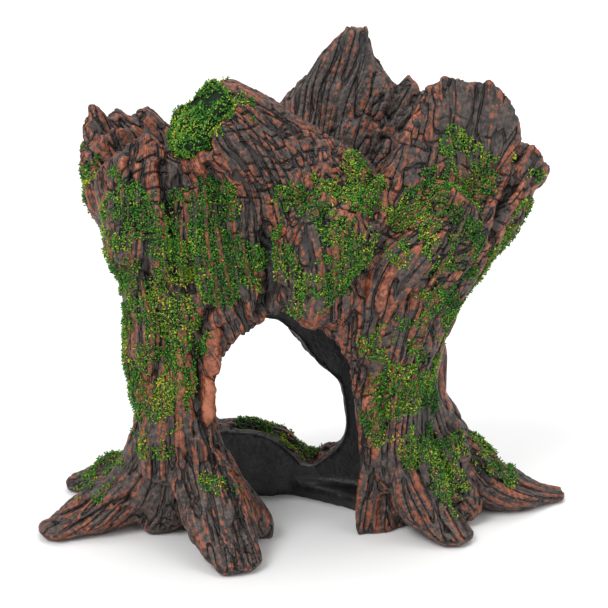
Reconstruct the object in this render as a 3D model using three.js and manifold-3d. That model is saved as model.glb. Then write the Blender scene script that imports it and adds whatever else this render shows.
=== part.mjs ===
// An aquarium ornament in the shape of a hollow tree stump: one hollow resin casting, with splayed roots,
// a cave that runs from a front arch to a window in the back wall, and a broken crown round two basins, and
// the patches of artificial moss that are glued on its bark. Millimetres, +Z up, -Y is the front, and it
// stands on Z = 0.
import * as THREE from "three";
import { LoftGeometry } from "three/addons/geometries/LoftGeometry.js";
import { mergeGeometries, mergeVertices } from "three/addons/utils/BufferGeometryUtils.js";
import Module from "manifold-3d";

const wasm = await Module();
wasm.setup();

// Driving dimensions
const CROWN_WALL = 6; // resin wall between a basin and the bark
const SHOULDER_Z = 90; // where the trunk starts to flare into the crown
const FLOOR_THICK = 5; // the web of resin that ties the feet together
const LEFT_BASIN_Z = 106; // floor of the basin behind the left lobe
const RIGHT_BASIN_Z = 100; // floor of the basin behind the notch
const SADDLE_Z = 128; // ridge between the two basins
const SADDLE_X = -14;
const SADDLE_WIDTH = 14;
const GLUE_GAP = 0.35; // between the bark and a moss patch
const MOSS_THICK = 1.6;
const MOSS_FINENESS = 0.02; // creases smaller than this are smoothed out of a patch
const CASTING_DETAIL = 0.2; // and out of the casting
const MOSS_SPACING = 0.8; // between one patch and the next
const MOSS_GRID = 4.5; // spacing of the points that a patch's top is laid through
const MOSS_ROOTED = 2.5; // how far a pad reaches into the bark before it is cut back to the bark's face
const MOSS_REACH = 24; // how far out from a patch's line the bark is looked for
const MOSS_TURN = 1.25; // the most a patch wraps each way round its line, in radians
const MOSS_STEP = 3.2; // the most a patch's top rises or falls from one of its points to the next
const ROOT_FLATNESS = 0.85; // a root's height over its width
const CROWN_STEP = 8; // longest run along the broken edge between two corners

// A basin's wall on its way down: the share of its depth, and how far it has leant inwards.
const BASIN_STEPS = [
  { drop: 0.04, lean: 0 },
  { drop: 0.45, lean: 4 },
  { drop: 0.85, lean: 9 },
  { drop: 1, lean: 15 },
];

const BARK = { color: 0x4a3832, roughness: 0.62, metalness: 0 };
const MOSS_GREEN = { color: 0x4f8a2c, roughness: 0.95, metalness: 0 };

// The trunk's outline at each height up to the shoulder: centre, half width and half depth.
const TRUNK_RINGS = [
  { z: -3, x: -5, y: 3, halfWidth: 45, halfDepth: 22 },
  { z: 12, x: -5, y: 3, halfWidth: 45, halfDepth: 23 },
  { z: 26, x: -5, y: 2, halfWidth: 48, halfDepth: 25 },
  { z: 42, x: -6, y: 0, halfWidth: 50, halfDepth: 26 },
  { z: 58, x: -6, y: 0, halfWidth: 50, halfDepth: 26 },
  { z: 74, x: -4, y: 0, halfWidth: 52, halfDepth: 27 },
  { z: SHOULDER_Z, x: 0, y: 0, halfWidth: 57, halfDepth: 29 },
];

// The crown's broken edge, anticlockwise from the finger on the right, by way of the back.
const CROWN_EDGE = [
  [72, 4, 119],
  [68, 14, 113],
  [58, 22, 121],
  [47, 25, 127],
  [39, 27, 135],
  [33, 28, 140],
  [28, 28, 136],
  [26, 28, 142],
  [22, 29, 146],
  [20, 29, 157],
  [14, 29, 157],
  [9, 29, 151],
  [5, 29, 147],
  [0, 28, 140],
  [-5, 28, 133],
  [-20, 30, 126],
  [-34, 30, 121],
  [-41, 29, 121],
  [-50, 28, 132],
  [-56, 26, 127],
  [-59, 25, 130],
  [-64, 22, 127],
  [-69, 19, 133],
  [-70, 12, 120],
  [-70, 4, 116],
  [-67, -8, 112],
  [-60, -18, 119],
  [-51, -25, 126],
  [-44, -26, 128],
  [-36, -28, 121],
  [-20, -28, 118],
  [-4, -28, 119],
  [9, -28, 114],
  [18, -27, 111],
  [26, -23, 123],
  [34, -18, 139],
  [43, -14, 146],
  [49, -12, 141],
  [55, -11, 144],
  [64, -8, 135],
  [67, -5, 119],
];

// Roots: each a path from the trunk to its tip, with its half widths.
const ROOTS = [
  { path: [[-42, -6, 36], [-50, -6, 17], [-62, -8, 8], [-81, -18, 4]], radii: [13, 12, 10, 6.5] },
  { path: [[-36, -10, 24], [-42, -10, 10], [-48, -8, 2]], radii: [11, 10, 8] },
  { path: [[-32, -12, 42], [-30, -22, 24], [-25, -34, 11], [-19, -44, 3]], radii: [11, 12, 11, 7] },
  { path: [[-28, -14, 28], [-20, -20, 12], [-16, -22, 4]], radii: [9, 9, 7] },
  { path: [[26, -8, 46], [30, -10, 27], [39, -14, 11], [49, -22, 3]], radii: [13, 13, 11, 7] },
  { path: [[20, -6, 42], [20, -6, 22], [22, -4, 0]], radii: [8, 8, 8] },
  { path: [[34, 0, 40], [49, 4, 19], [67, 9, 6], [85, 17, 3]], radii: [12, 11, 10, 5.5] },
  { path: [[42, -6, 30], [48, -6, 14], [52, -5, 3]], radii: [9, 8, 6] },
  { path: [[-44, 8, 32], [-54, 14, 12], [-66, 20, 7], [-79, 26, 3]], radii: [11, 9, 8, 5] },
  { path: [[34, 14, 38], [42, 28, 18], [50, 38, 6], [58, 45, 1]], radii: [12, 12, 10, 5] },
  { path: [[-34, 16, 38], [-35, 30, 17], [-34, 40, 6], [-30, 48, 1]], radii: [12, 12, 10, 5] },
];

// Folds of bark that stand out of the trunk, as rounded limbs half sunk in it.
const FOLDS = [
  { path: [[-45, -17, 120], [-46, -18, 106], [-42, -16, 86], [-42, -14, 56]], radii: [12, 17, 14, 12] },
  { path: [[-61, 2, 113], [-51, 0, 97], [-45, -2, 82], [-45, -3, 48]], radii: [8, 10, 11, 12] },
  { path: [[-31, -22, 114], [-26, -22, 94], [-24, -21, 74]], radii: [9, 10, 7] },
  { path: [[-16, -23, 110], [-14, -24, 92], [-12, -22, 76]], radii: [9, 9, 7] },
  { path: [[12, -20, 108], [4, -23, 96], [3, -24, 86], [8, -22, 76]], radii: [15, 17, 15, 10] },
  { path: [[-26, -22, 75], [-28.5, -24, 60], [-29.5, -24, 42]], radii: [5, 5.4, 4.4] },
  { path: [[-35, -19, 80], [-35, -21, 56], [-32, -22, 32]], radii: [9, 9, 8] },
  { path: [[-45, -14, 72], [-44, -17, 48], [-42, -19, 24]], radii: [11, 11, 10] },
  {
    path: [[71, 3, 119], [58, -1, 100], [40, -5, 78], [31, -5, 56], [31, -2, 38], [41, 1, 24]],
    radii: [6.5, 8, 10, 11, 10.5, 10],
  },
  {
    path: [[64, -5, 113], [48, -11, 92], [34, -15, 74], [27, -16, 56], [26, -14, 40], [30, -13, 26]],
    radii: [6, 10, 11, 12, 12, 11],
  },
  {
    path: [[46, -13, 108], [30, -19, 90], [20, -20, 73], [19, -18, 52], [20, -15, 34]],
    radii: [10, 11, 9, 7, 8],
  },
  { path: [[45, 18, 116], [40, 19, 92], [33, 18, 62], [32, 16, 34]], radii: [10, 13, 12, 12] },
  { path: [[10, 26, 138], [8, 24, 112], [12, 22, 84], [20, 20, 56]], radii: [7, 11, 12, 9] },
  { path: [[-30, 23, 116], [-30, 23, 96], [-36, 20, 66], [-36, 17, 34]], radii: [9, 13, 13, 12] },
  { path: [[-60, 16, 122], [-52, 14, 98], [-45, 12, 76], [-45, 8, 38]], radii: [8, 11, 11, 11] },
];

// The thick sill under the back window.
const SILL = {
  path: [[-46, 22, 24], [-32, 31, 16], [-14, 34, 14], [2, 32, 4], [14, 29, 10], [28, 22, 22]],
  radii: [9, 8, 8, 7, 7, 8],
};

// The hollow branch stub, its mouth, and the moss that plugs it.
const STUB = {
  path: [[8, -8, 100], [-6, -13, 112], [-18, -19, 123], [-28, -24, 131]],
  radii: [22, 20, 18, 16],
};
const STUB_BORE = { path: [[-35, -29, 139], [-25, -23, 129], [-18, -19, 123]], radii: [13, 12, 8] };
const KNOT_HOLE_MOSS = { path: [[-32, -27, 135.5], [-25, -23, 129], [-17, -18, 122]], radii: [12, 13, 10] };

// The cave, the outlines of its two openings across X and up Z, and the hollow at the arch's right foot.
const CAVE_RINGS = [
  { z: -4, x: -5, y: 2, halfWidth: 35, halfDepth: 16 },
  { z: 14, x: -5, y: 2, halfWidth: 37, halfDepth: 18 },
  { z: 32, x: -6, y: 2, halfWidth: 37, halfDepth: 19 },
  { z: 50, x: -6, y: 2, halfWidth: 34, halfDepth: 19 },
  { z: 64, x: -6, y: 1, halfWidth: 28, halfDepth: 17 },
  { z: 74, x: -5, y: 0, halfWidth: 19, halfDepth: 13 },
  { z: 80, x: -5, y: 0, halfWidth: 7, halfDepth: 5 },
];
const ARCH_OUTLINE = [
  [-9, -6],
  [-10, 6],
  [-16, 16],
  [-23, 27],
  [-28, 38],
  [-28, 54],
  [-22, 67],
  [-6, 75],
  [8, 69],
  [14, 57],
  [17, 40],
  [17, 20],
  [16, -6],
];
const ARCH_DEPTH = 68; // how far forward of the cave's middle the arch cut reaches
const ARCH_FLARE = { path: [[21, -27, -6], [20, -30, 12], [18, -32, 26]], radii: [12, 9, 3] };
const WINDOW_OUTLINE = [
  [-33, 24],
  [-17, 22],
  [-7, 17],
  [1, 10],
  [8, 14],
  [13, 20],
  [14, 28],
  [12, 40],
  [4, 47],
  [-2, 55],
  [-10, 62],
  [-22, 61],
  [-32, 54],
  [-37, 42],
  [-37, 31],
];
const WINDOW_FROM = 12;
const WINDOW_DEPTH = 60;
const FLOOR_OUTLINE = [
  [-46, 12],
  [-30, 26],
  [-17, 27],
  [15, 6],
  [26, -6],
  [36, 10],
  [26, 28],
  [0, 36],
  [-30, 34],
];

// Moss patches: the line inside the bark that each lies round, its half widths, and the side it faces.
const MOSS = {
  moss_left_trunk: {
    path: [[-46, -12, 116], [-48, -10, 100], [-44, -10, 76], [-43, -10, 52], [-42, -12, 32]],
    radii: [12, 17, 15, 12, 6],
    facing: [-0.35, -1, 0.05],
  },
  moss_left_side: {
    path: [[-60, 2, 110], [-54, 2, 92], [-46, 2, 70], [-46, 4, 48]],
    radii: [6, 9, 9, 5],
    facing: [-1, 0.25, 0],
  },
  moss_left_lip: {
    path: [[-66, 10, 117], [-66, 4, 113], [-63, -3, 110]],
    radii: [2.5, 3.5, 2.5],
    facing: [-1, -0.4, 0.6],
  },
  moss_under_stub: {
    path: [[-30, -18, 112], [-26, -20, 98], [-23, -18, 84]],
    radii: [6, 10, 6],
    facing: [-0.1, -1, 0],
  },
  moss_brow: {
    path: [[10, -16, 112], [3, -18, 97], [4, -18, 80]],
    radii: [10, 16, 8],
    facing: [0.05, -1, 0.05],
  },
  moss_right_slab: {
    path: [[50, -8, 124], [43, -12, 108], [31, -15, 90]],
    radii: [8, 16, 10],
    facing: [0.35, -1, 0.05],
  },
  moss_finger: {
    path: [[70, 3, 112], [58, -1, 96], [47, -4, 82]],
    radii: [4, 6, 4],
    facing: [1, -0.5, 0],
  },
  moss_right_buttress: {
    path: [[38, -8, 78], [31, -10, 58], [29, -8, 42], [34, -10, 27]],
    radii: [9, 13, 12, 6],
    facing: [0.45, -1, 0.05],
  },
  moss_root_front_right: {
    path: [[36, -12, 20], [46, -20, 8]],
    radii: [3, 2.5],
    facing: [0.6, 0.1, 1],
  },
  moss_root_right: { path: [[49, 4, 19], [62, 8, 9]], radii: [5, 4], facing: [0.1, -0.4, 1] },
  moss_root_front_left: { path: [[-70, -12, 6], [-56, -7, 12]], radii: [4, 6], facing: [-0.2, 0, 1] },
  moss_root_back_left: { path: [[-74, 23, 5], [-58, 16, 10]], radii: [4, 5], facing: [-0.2, -0.4, 1] },
  moss_root_front_mid: {
    path: [[-30, -20, 30], [-26, -30, 17]],
    radii: [3.5, 3.5],
    facing: [0.2, -0.6, 1],
  },
  moss_sill: {
    path: [[-22, 33, 15], [-10, 34, 13], [0, 32, 6]],
    radii: [4, 6, 4],
    facing: [0, -0.1, 1],
  },
  moss_notch: {
    path: [[9, -20, 106], [16, -20, 104], [23, -18, 108]],
    radii: [3, 4, 3],
    facing: [0, -0.3, 1],
  },
  moss_back_left: {
    path: [[-46, 16, 104], [-40, 16, 80], [-38, 14, 54]],
    radii: [8, 12, 6],
    facing: [-0.3, 1, 0],
  },
  moss_back_right: {
    path: [[42, 14, 100], [36, 16, 76], [36, 14, 50]],
    radii: [7, 12, 6],
    facing: [0.3, 1, 0],
  },
  moss_root_back_right: { path: [[41, 25, 20], [50, 36, 8]], radii: [6, 4], facing: [0.2, 0.2, 1] },
};

const vector = (p) => new THREE.Vector3(...p);

// A three.js geometry as a manifold-3d solid.
function solid(geometry) {
  const bare = new THREE.BufferGeometry().copy(geometry);
  bare.deleteAttribute("normal");
  bare.deleteAttribute("uv");
  const merged = mergeVertices(bare, 1e-3);
  return new wasm.Manifold(
    new wasm.Mesh({
      numProp: 3,
      vertProperties: merged.attributes.position.array,
      triVerts: new Uint32Array(merged.index.array),
    }),
  );
}

// A manifold-3d solid as a three.js geometry.
function geometryOf(body) {
  const mesh = body.getMesh();
  const geometry = new THREE.BufferGeometry()
    .setAttribute("position", new THREE.BufferAttribute(Float32Array.from(mesh.vertProperties), 3))
    .setIndex(new THREE.BufferAttribute(Uint32Array.from(mesh.triVerts), 1));
  geometry.computeVertexNormals();
  return geometry;
}

// The value of a list of numbers at t from 0 to 1, eased between its entries.
function along(values, t) {
  const at = t * (values.length - 1);
  const i = Math.min(Math.floor(at), values.length - 2);
  return THREE.MathUtils.lerp(values[i], values[i + 1], THREE.MathUtils.smoothstep(at - i, 0, 1));
}

// A tapering limb along a smooth curve, with a rounded tip and shallow flutes that run along it.
function limb({ path, radii }, { sides = 12, step = 7, flutes = 4, fluteDepth = 0.07, flat = 1 } = {}) {
  const curve = new THREE.CatmullRomCurve3(path.map(vector));
  const rings = Math.max(3, Math.round(curve.getLength() / step));
  const tipForward = curve.getTangentAt(1);
  const up = Math.abs(tipForward.z) > 0.85 ? new THREE.Vector3(0, -1, 0) : new THREE.Vector3(0, 0, 1);
  const sections = [];
  for (let i = rings; i >= 0; i--) {
    const forward = curve.getTangentAt(i / rings);
    up.addScaledVector(forward, -up.dot(forward)).normalize();
    const side = new THREE.Vector3().crossVectors(up, forward);
    const radius = along(radii, i / rings);
    const centre = curve.getPointAt(i / rings);
    sections.unshift(section(centre, side, up, radius, flat, sides, flutes, fluteDepth));
  }
  const tip = curve.getPointAt(1).addScaledVector(tipForward, radii.at(-1) * 0.6);
  sections.push(sections.at(-1).map((p) => p.clone().lerp(tip, 0.55)));
  return solid(new LoftGeometry(sections, { capStart: true, capEnd: true }));
}

function section(centre, side, up, radius, flat, sides, flutes, fluteDepth) {
  return Array.from({ length: sides }, (_, k) => {
    const angle = (k / sides) * 2 * Math.PI;
    const r = radius * (1 + fluteDepth * Math.cos(flutes * angle));
    return centre
      .clone()
      .addScaledVector(side, r * Math.cos(angle))
      .addScaledVector(up, r * flat * Math.sin(angle));
  });
}

// An ellipse at each ring's height, anticlockwise from above, as a solid column.
function column(rings, sides = 24) {
  const sections = rings.map((ring) =>
    Array.from({ length: sides }, (_, k) => onRing(ring, (k / sides) * 2 * Math.PI)),
  );
  return solid(new LoftGeometry(sections, { capStart: true, capEnd: true }));
}

function onRing({ x, y, z, halfWidth, halfDepth }, angle) {
  return new THREE.Vector3(x + halfWidth * Math.cos(angle), y + halfDepth * Math.sin(angle), z);
}

// A smooth closed outline across X and up Z, cut or built from one Y to another.
function opening(outline, fromY, depth) {
  const curve = new THREE.SplineCurve(outline.map(([x, z]) => new THREE.Vector2(x, z)));
  const shape = new THREE.Shape(curve.getPoints(outline.length * 2));
  const geometry = new THREE.ExtrudeGeometry(shape, { depth, bevelEnabled: false });
  geometry.rotateX(Math.PI / 2); // the outline's second axis becomes Z, and the depth runs towards -Y
  return solid(geometry).translate([0, fromY, 0]);
}

// How high the basins' floor is at X: two basins with a saddle between them.
function basinFloor(x) {
  const low = x < SADDLE_X ? LEFT_BASIN_Z : RIGHT_BASIN_Z;
  const rise = Math.exp(-(((x - SADDLE_X) / SADDLE_WIDTH) ** 2));
  return THREE.MathUtils.lerp(low, SADDLE_Z, rise);
}

// The trunk with its crown: up the bark, over the broken edge, and down into the basins.
function trunk() {
  const edge = CROWN_EDGE.map(vector).flatMap((p, i, all) => {
    const next = all[(i + 1) % all.length];
    const pieces = Math.ceil(p.distanceTo(next) / CROWN_STEP);
    return Array.from({ length: pieces }, (_, k) => p.clone().lerp(next, k / pieces));
  });
  const shoulder = TRUNK_RINGS.at(-1);
  const angles = edge.map((p) => Math.atan2(p.y / shoulder.halfDepth, p.x / shoulder.halfWidth));
  const flute = (angle, z) =>
    1 + 0.025 * Math.sin(13 * angle + z / 26) + 0.018 * Math.sin(21 * angle - z / 17);
  const sections = TRUNK_RINGS.map((ring) =>
    angles.map((angle) => {
      const f = flute(angle, ring.z);
      return onRing({ ...ring, halfWidth: ring.halfWidth * f, halfDepth: ring.halfDepth * f }, angle);
    }),
  );
  for (const rise of [0.28, 0.6, 1]) {
    const spread = Math.sin((rise * Math.PI) / 2);
    sections.push(
      edge.map((p, k) => {
        const start = sections[TRUNK_RINGS.length - 1][k];
        return new THREE.Vector3(
          THREE.MathUtils.lerp(start.x, p.x, spread),
          THREE.MathUtils.lerp(start.y, p.y, spread),
          THREE.MathUtils.lerp(start.z, p.z, rise),
        );
      }),
    );
  }
  for (const { drop, lean } of BASIN_STEPS) {
    sections.push(edge.map((p) => inBasin(p, drop, CROWN_WALL + lean)));
  }
  const skin = new LoftGeometry(sections, { capStart: true });
  skin.deleteAttribute("normal");
  skin.deleteAttribute("uv");
  return solid(mergeGeometries([skin, lid(sections.at(-1))]));
}

// A ring filled in, facing up.
function lid(ring) {
  const outline = ring.map((p) => new THREE.Vector2(p.x, p.y));
  const corners = new Float32Array(ring.flatMap((p) => p.toArray()));
  return new THREE.BufferGeometry()
    .setAttribute("position", new THREE.BufferAttribute(corners, 3))
    .setIndex(THREE.ShapeUtils.triangulateShape(outline, []).flat());
}

// A point on a basin's wall: inset from the crown's edge, and dropped from it towards the basin's floor.
function inBasin(p, drop, inset) {
  const spineY = 2 + 4 * THREE.MathUtils.smoothstep(p.x, 20, 60);
  const spine = new THREE.Vector3(THREE.MathUtils.clamp(p.x, -52, 52), spineY, p.z);
  const inward = spine.sub(p);
  const reach = Math.min(inset, inward.length() * 0.9);
  const q = p.clone().addScaledVector(inward.normalize(), reach);
  q.z = THREE.MathUtils.lerp(p.z, Math.min(basinFloor(q.x), p.z - 2), drop);
  return q;
}

function casting() {
  let body = trunk();
  for (const fold of FOLDS) body = body.add(limb(fold, { sides: 9, step: 10, flutes: 3 }));
  body = body.add(limb(STUB, { sides: 18, step: 6, flutes: 7, fluteDepth: 0.05 }));
  for (const root of ROOTS) body = body.add(limb(root, { step: 8, fluteDepth: 0.09, flat: ROOT_FLATNESS }));
  body = body
    .subtract(column(CAVE_RINGS))
    .subtract(opening(ARCH_OUTLINE, 0, ARCH_DEPTH))
    .subtract(limb(ARCH_FLARE))
    .subtract(opening(WINDOW_OUTLINE, WINDOW_FROM + WINDOW_DEPTH, WINDOW_DEPTH))
    .subtract(limb(STUB_BORE, { sides: 14, step: 6, flutes: 5, fluteDepth: 0.05 }));
  body = body.add(limb(SILL, { sides: 10, step: 8 })).add(floorWeb());
  const ground = new THREE.BoxGeometry(400, 400, 200).translate(0, 0, 100);
  return tidied(body.intersect(solid(ground)), CASTING_DETAIL);
}

// The web of resin on the ground, which closes the back of the cave's floor.
function floorWeb() {
  const shape = new THREE.Shape(FLOOR_OUTLINE.map(([x, y]) => new THREE.Vector2(x, y)));
  return solid(new THREE.ExtrudeGeometry(shape, { depth: FLOOR_THICK, bevelEnabled: false }));
}

// The main body of a solid, without the crumbs, pin-prick voids and slivers that joins and cuts leave.
function tidied(body, tolerance) {
  const main = (solids) => solids.reduce((a, b) => (b.volume() > a.volume() ? b : a));
  const smoothed = main(body.simplify(tolerance).decompose());
  return main(solid(geometryOf(smoothed)).decompose());
}

// A solid whose surface stands off another's by a distance, along the normals at its corners.
function swollen(body, distance) {
  const geometry = geometryOf(body);
  const { position, normal } = geometry.attributes;
  const moved = new THREE.Vector3();
  for (let i = 0; i < position.count; i++) {
    moved.fromBufferAttribute(normal, i).multiplyScalar(distance);
    position.setXYZ(i, position.getX(i) + moved.x, position.getY(i) + moved.y, position.getZ(i) + moved.z);
  }
  return solid(geometry);
}

// A pad wrapped part of the way round a line inside the bark. Its top follows the bark, and its underside
// is sunk in it.
function pad(bark, { path, radii, facing }, margin) {
  const curve = new THREE.CatmullRomCurve3(path.map(vector));
  const rows = Math.max(3, Math.round(curve.getLength() / MOSS_GRID));
  const columns = Math.max(3, Math.round((2 * Math.max(...radii)) / MOSS_GRID));
  const sections = [];
  let depths;
  for (let i = 0; i <= rows; i++) {
    const centre = curve.getPointAt(i / rows);
    const forward = curve.getTangentAt(i / rows);
    const out = vector(facing).addScaledVector(forward, -vector(facing).dot(forward)).normalize();
    const reach = margin + along(radii, i / rows) * (1 + 0.16 * Math.sin(i * 2.1 + path[0][0]));
    const turn = Math.min(reach / Math.max(barkDepth(bark, centre, out), 1), MOSS_TURN);
    const ways = Array.from({ length: columns + 1 }, (_, j) =>
      out.clone().applyAxisAngle(forward, turn * ((2 * j) / columns - 1)),
    );
    depths = draped(ways.map((way) => barkDepth(bark, centre, way)), depths);
    const ring = (depthOf) => ways.map((way, j) => centre.clone().addScaledVector(way, depthOf(depths[j])));
    const top = ring((depth) => depth + GLUE_GAP + MOSS_THICK + margin);
    const underside = ring((depth) => Math.max(depth - MOSS_ROOTED, depth / 2));
    sections.push([...top, ...underside.reverse()]);
  }
  return solid(new LoftGeometry(sections, { capStart: true, capEnd: true }));
}

// One row of depths, from its middle outwards, with no step to a neighbour steeper than moss would lie on.
function draped(found, previous) {
  const near = (value, other) => THREE.MathUtils.clamp(value, other - MOSS_STEP, other + MOSS_STEP);
  const middle = Math.floor(found.length / 2);
  const row = [];
  row[middle] = previous ? near(found[middle], previous[middle]) : found[middle];
  for (let j = middle + 1; j < found.length; j++) row[j] = near(found[j], row[j - 1]);
  for (let j = middle - 1; j >= 0; j--) row[j] = near(found[j], row[j + 1]);
  return previous ? row.map((depth, j) => near(depth, previous[j])) : row;
}

// How far the bark stands out from a point.
function barkDepth(bark, point, out) {
  const ray = new THREE.Raycaster(point.clone().addScaledVector(out, MOSS_REACH), out.clone().negate());
  const hit = ray.intersectObject(bark, false)[0];
  return MOSS_REACH - (hit ? hit.distance : 2 * MOSS_REACH);
}

function part(name, body, look) {
  const mesh = new THREE.Mesh(geometryOf(body), new THREE.MeshStandardMaterial(look));
  mesh.name = name;
  return mesh;
}

const stump = casting();
const bark = part("stump_casting", stump, BARK);
const glueFace = swollen(stump, GLUE_GAP);
let occupied = stump;

const ornament = new THREE.Group();
ornament.add(bark);
const plug = limb(KNOT_HOLE_MOSS, { sides: 14, step: 6, flutes: 5 }).subtract(occupied).subtract(glueFace);
ornament.add(part("moss_knot_hole", tidied(plug, MOSS_FINENESS), MOSS_GREEN));
occupied = occupied.add(plug);
for (const [name, line] of Object.entries(MOSS)) {
  const patch = tidied(pad(bark, line, 0).subtract(occupied).subtract(glueFace), MOSS_FINENESS);
  ornament.add(part(name, patch, MOSS_GREEN));
  occupied = occupied.add(pad(bark, line, MOSS_SPACING)).add(patch);
}

// The origin is the middle of the ornament's box, at the ground.
const box = new THREE.Box3().setFromObject(ornament);
const middle = box.getCenter(new THREE.Vector3());
ornament.position.set(-middle.x, -middle.y, -box.min.z);

export default ornament;
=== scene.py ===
"""Looks of the resin cave ornament: the painted stump casting and the coats of moss flock glued on it."""
import math
from collections import namedtuple

import bmesh
import bpy
import numpy as np
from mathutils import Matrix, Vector
from mathutils.bvhtree import BVHTree


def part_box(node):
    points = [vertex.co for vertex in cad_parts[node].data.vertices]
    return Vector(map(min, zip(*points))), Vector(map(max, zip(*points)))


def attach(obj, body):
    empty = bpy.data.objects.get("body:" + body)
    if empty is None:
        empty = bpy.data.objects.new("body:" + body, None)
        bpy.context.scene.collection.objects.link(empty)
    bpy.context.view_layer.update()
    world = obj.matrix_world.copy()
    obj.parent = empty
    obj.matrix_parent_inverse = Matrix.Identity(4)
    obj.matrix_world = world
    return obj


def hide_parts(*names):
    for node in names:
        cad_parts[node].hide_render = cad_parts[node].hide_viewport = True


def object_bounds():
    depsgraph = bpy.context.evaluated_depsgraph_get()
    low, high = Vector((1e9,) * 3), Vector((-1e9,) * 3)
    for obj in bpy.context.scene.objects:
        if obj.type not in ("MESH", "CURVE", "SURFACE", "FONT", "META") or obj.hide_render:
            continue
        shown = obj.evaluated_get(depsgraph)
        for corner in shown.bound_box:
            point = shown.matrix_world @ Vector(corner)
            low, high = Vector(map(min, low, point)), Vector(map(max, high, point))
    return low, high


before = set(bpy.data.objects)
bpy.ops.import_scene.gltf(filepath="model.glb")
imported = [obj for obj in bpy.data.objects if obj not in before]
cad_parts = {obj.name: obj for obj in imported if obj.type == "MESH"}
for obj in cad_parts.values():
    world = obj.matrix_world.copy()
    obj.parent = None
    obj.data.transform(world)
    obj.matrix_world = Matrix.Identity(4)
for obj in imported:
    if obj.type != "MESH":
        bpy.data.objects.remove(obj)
cad_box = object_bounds()

MM = 0.001
LOW = np.array(cad_box[0])
SIZE = np.array(cad_box[1]) - LOW


def at(x, y, z):
    """A point by its share of the way across the frame's box."""
    return LOW + SIZE * np.array((x, y, z))


def height_at(share):
    """A height by its share of the box's height."""
    return LOW[2] + SIZE[2] * share


def smoothstep(x, low, high):
    """0 below low, 1 above high and a smooth climb between them."""
    t = ((x - low) / (high - low)).clip(0, 1)
    return t * t * (3 - 2 * t)


# ---------------------------------------------------------------- meshes as arrays
def points_of(mesh):
    co = np.empty(len(mesh.vertices) * 3, np.float32)
    mesh.vertices.foreach_get("co", co)
    return co.reshape(-1, 3).astype(float)


def move_to(mesh, co):
    mesh.vertices.foreach_set("co", co.astype(np.float32).ravel())
    mesh.update()


def normals_of(mesh):
    out = np.empty(len(mesh.vertices) * 3, np.float32)
    mesh.vertex_normals.foreach_get("vector", out)
    return out.reshape(-1, 3).astype(float)


def edges_of(mesh):
    out = np.empty(len(mesh.edges) * 2, np.int32)
    mesh.edges.foreach_get("vertices", out)
    return out.reshape(-1, 2)


def blurred(values, edges, rounds, share=0.5):
    """Values at the vertices, each moved towards its neighbours' mean."""
    count = np.bincount(edges.ravel(), minlength=len(values)).clip(1)
    flat = values.reshape(len(values), -1).copy()
    for _ in range(rounds):
        for k in range(flat.shape[1]):
            col = flat[:, k]
            total = np.bincount(edges[:, 0], col[edges[:, 1]], len(col))
            total += np.bincount(edges[:, 1], col[edges[:, 0]], len(col))
            flat[:, k] = col * (1 - share) + share * total / count
    return flat.reshape(values.shape)


def remeshed(mesh, voxel):
    """A copy of a closed mesh, made again in even quads."""
    ob = bpy.data.objects.new("remesh_tmp", mesh)
    bpy.context.scene.collection.objects.link(ob)
    mod = ob.modifiers.new("remesh", "REMESH")
    mod.mode = "VOXEL"
    mod.voxel_size = voxel
    graph = bpy.context.evaluated_depsgraph_get()
    made = bpy.data.meshes.new_from_object(ob.evaluated_get(graph))
    bpy.data.objects.remove(ob)
    return made


# ---------------------------------------------------------------- noise that runs with the grain
TABLES = 8  # seeds past this number use the same tables again, read from another place
CELLS = 64  # how many cells wide a table is before it repeats: a power of two
LATTICE = np.random.default_rng(842).random((TABLES, CELLS, CELLS, CELLS)).astype(np.float32)


def noise(p, seed):
    """Smooth value noise with cells one unit wide, from -1 to 1."""
    cell = np.floor(p).astype(np.int64)
    f = p - cell
    f = f * f * (3 - 2 * f)
    table = LATTICE[seed % TABLES]
    near = (cell + 17 * (seed + 3)) & (CELLS - 1)
    far = (near + 1) & (CELLS - 1)
    out = 0
    for i, wx in ((near[:, 0], 1 - f[:, 0]), (far[:, 0], f[:, 0])):
        for j, wy in ((near[:, 1], 1 - f[:, 1]), (far[:, 1], f[:, 1])):
            for k, wz in ((near[:, 2], 1 - f[:, 2]), (far[:, 2], f[:, 2])):
                out = out + table[i, j, k] * (wx * wy * wz)
    return out * 2 - 1


def noise_vectors(p, apart):
    """Vectors whose three parts are noises of their own, read some cells apart."""
    return np.stack([noise(p + apart * k, k) for k in range(3)], 1)


def clumpy(p, *parts):
    """Noises added up, each given as its height, its size and its seed."""
    return sum(height * noise(p / size, seed) for height, size, seed in parts)


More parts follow.
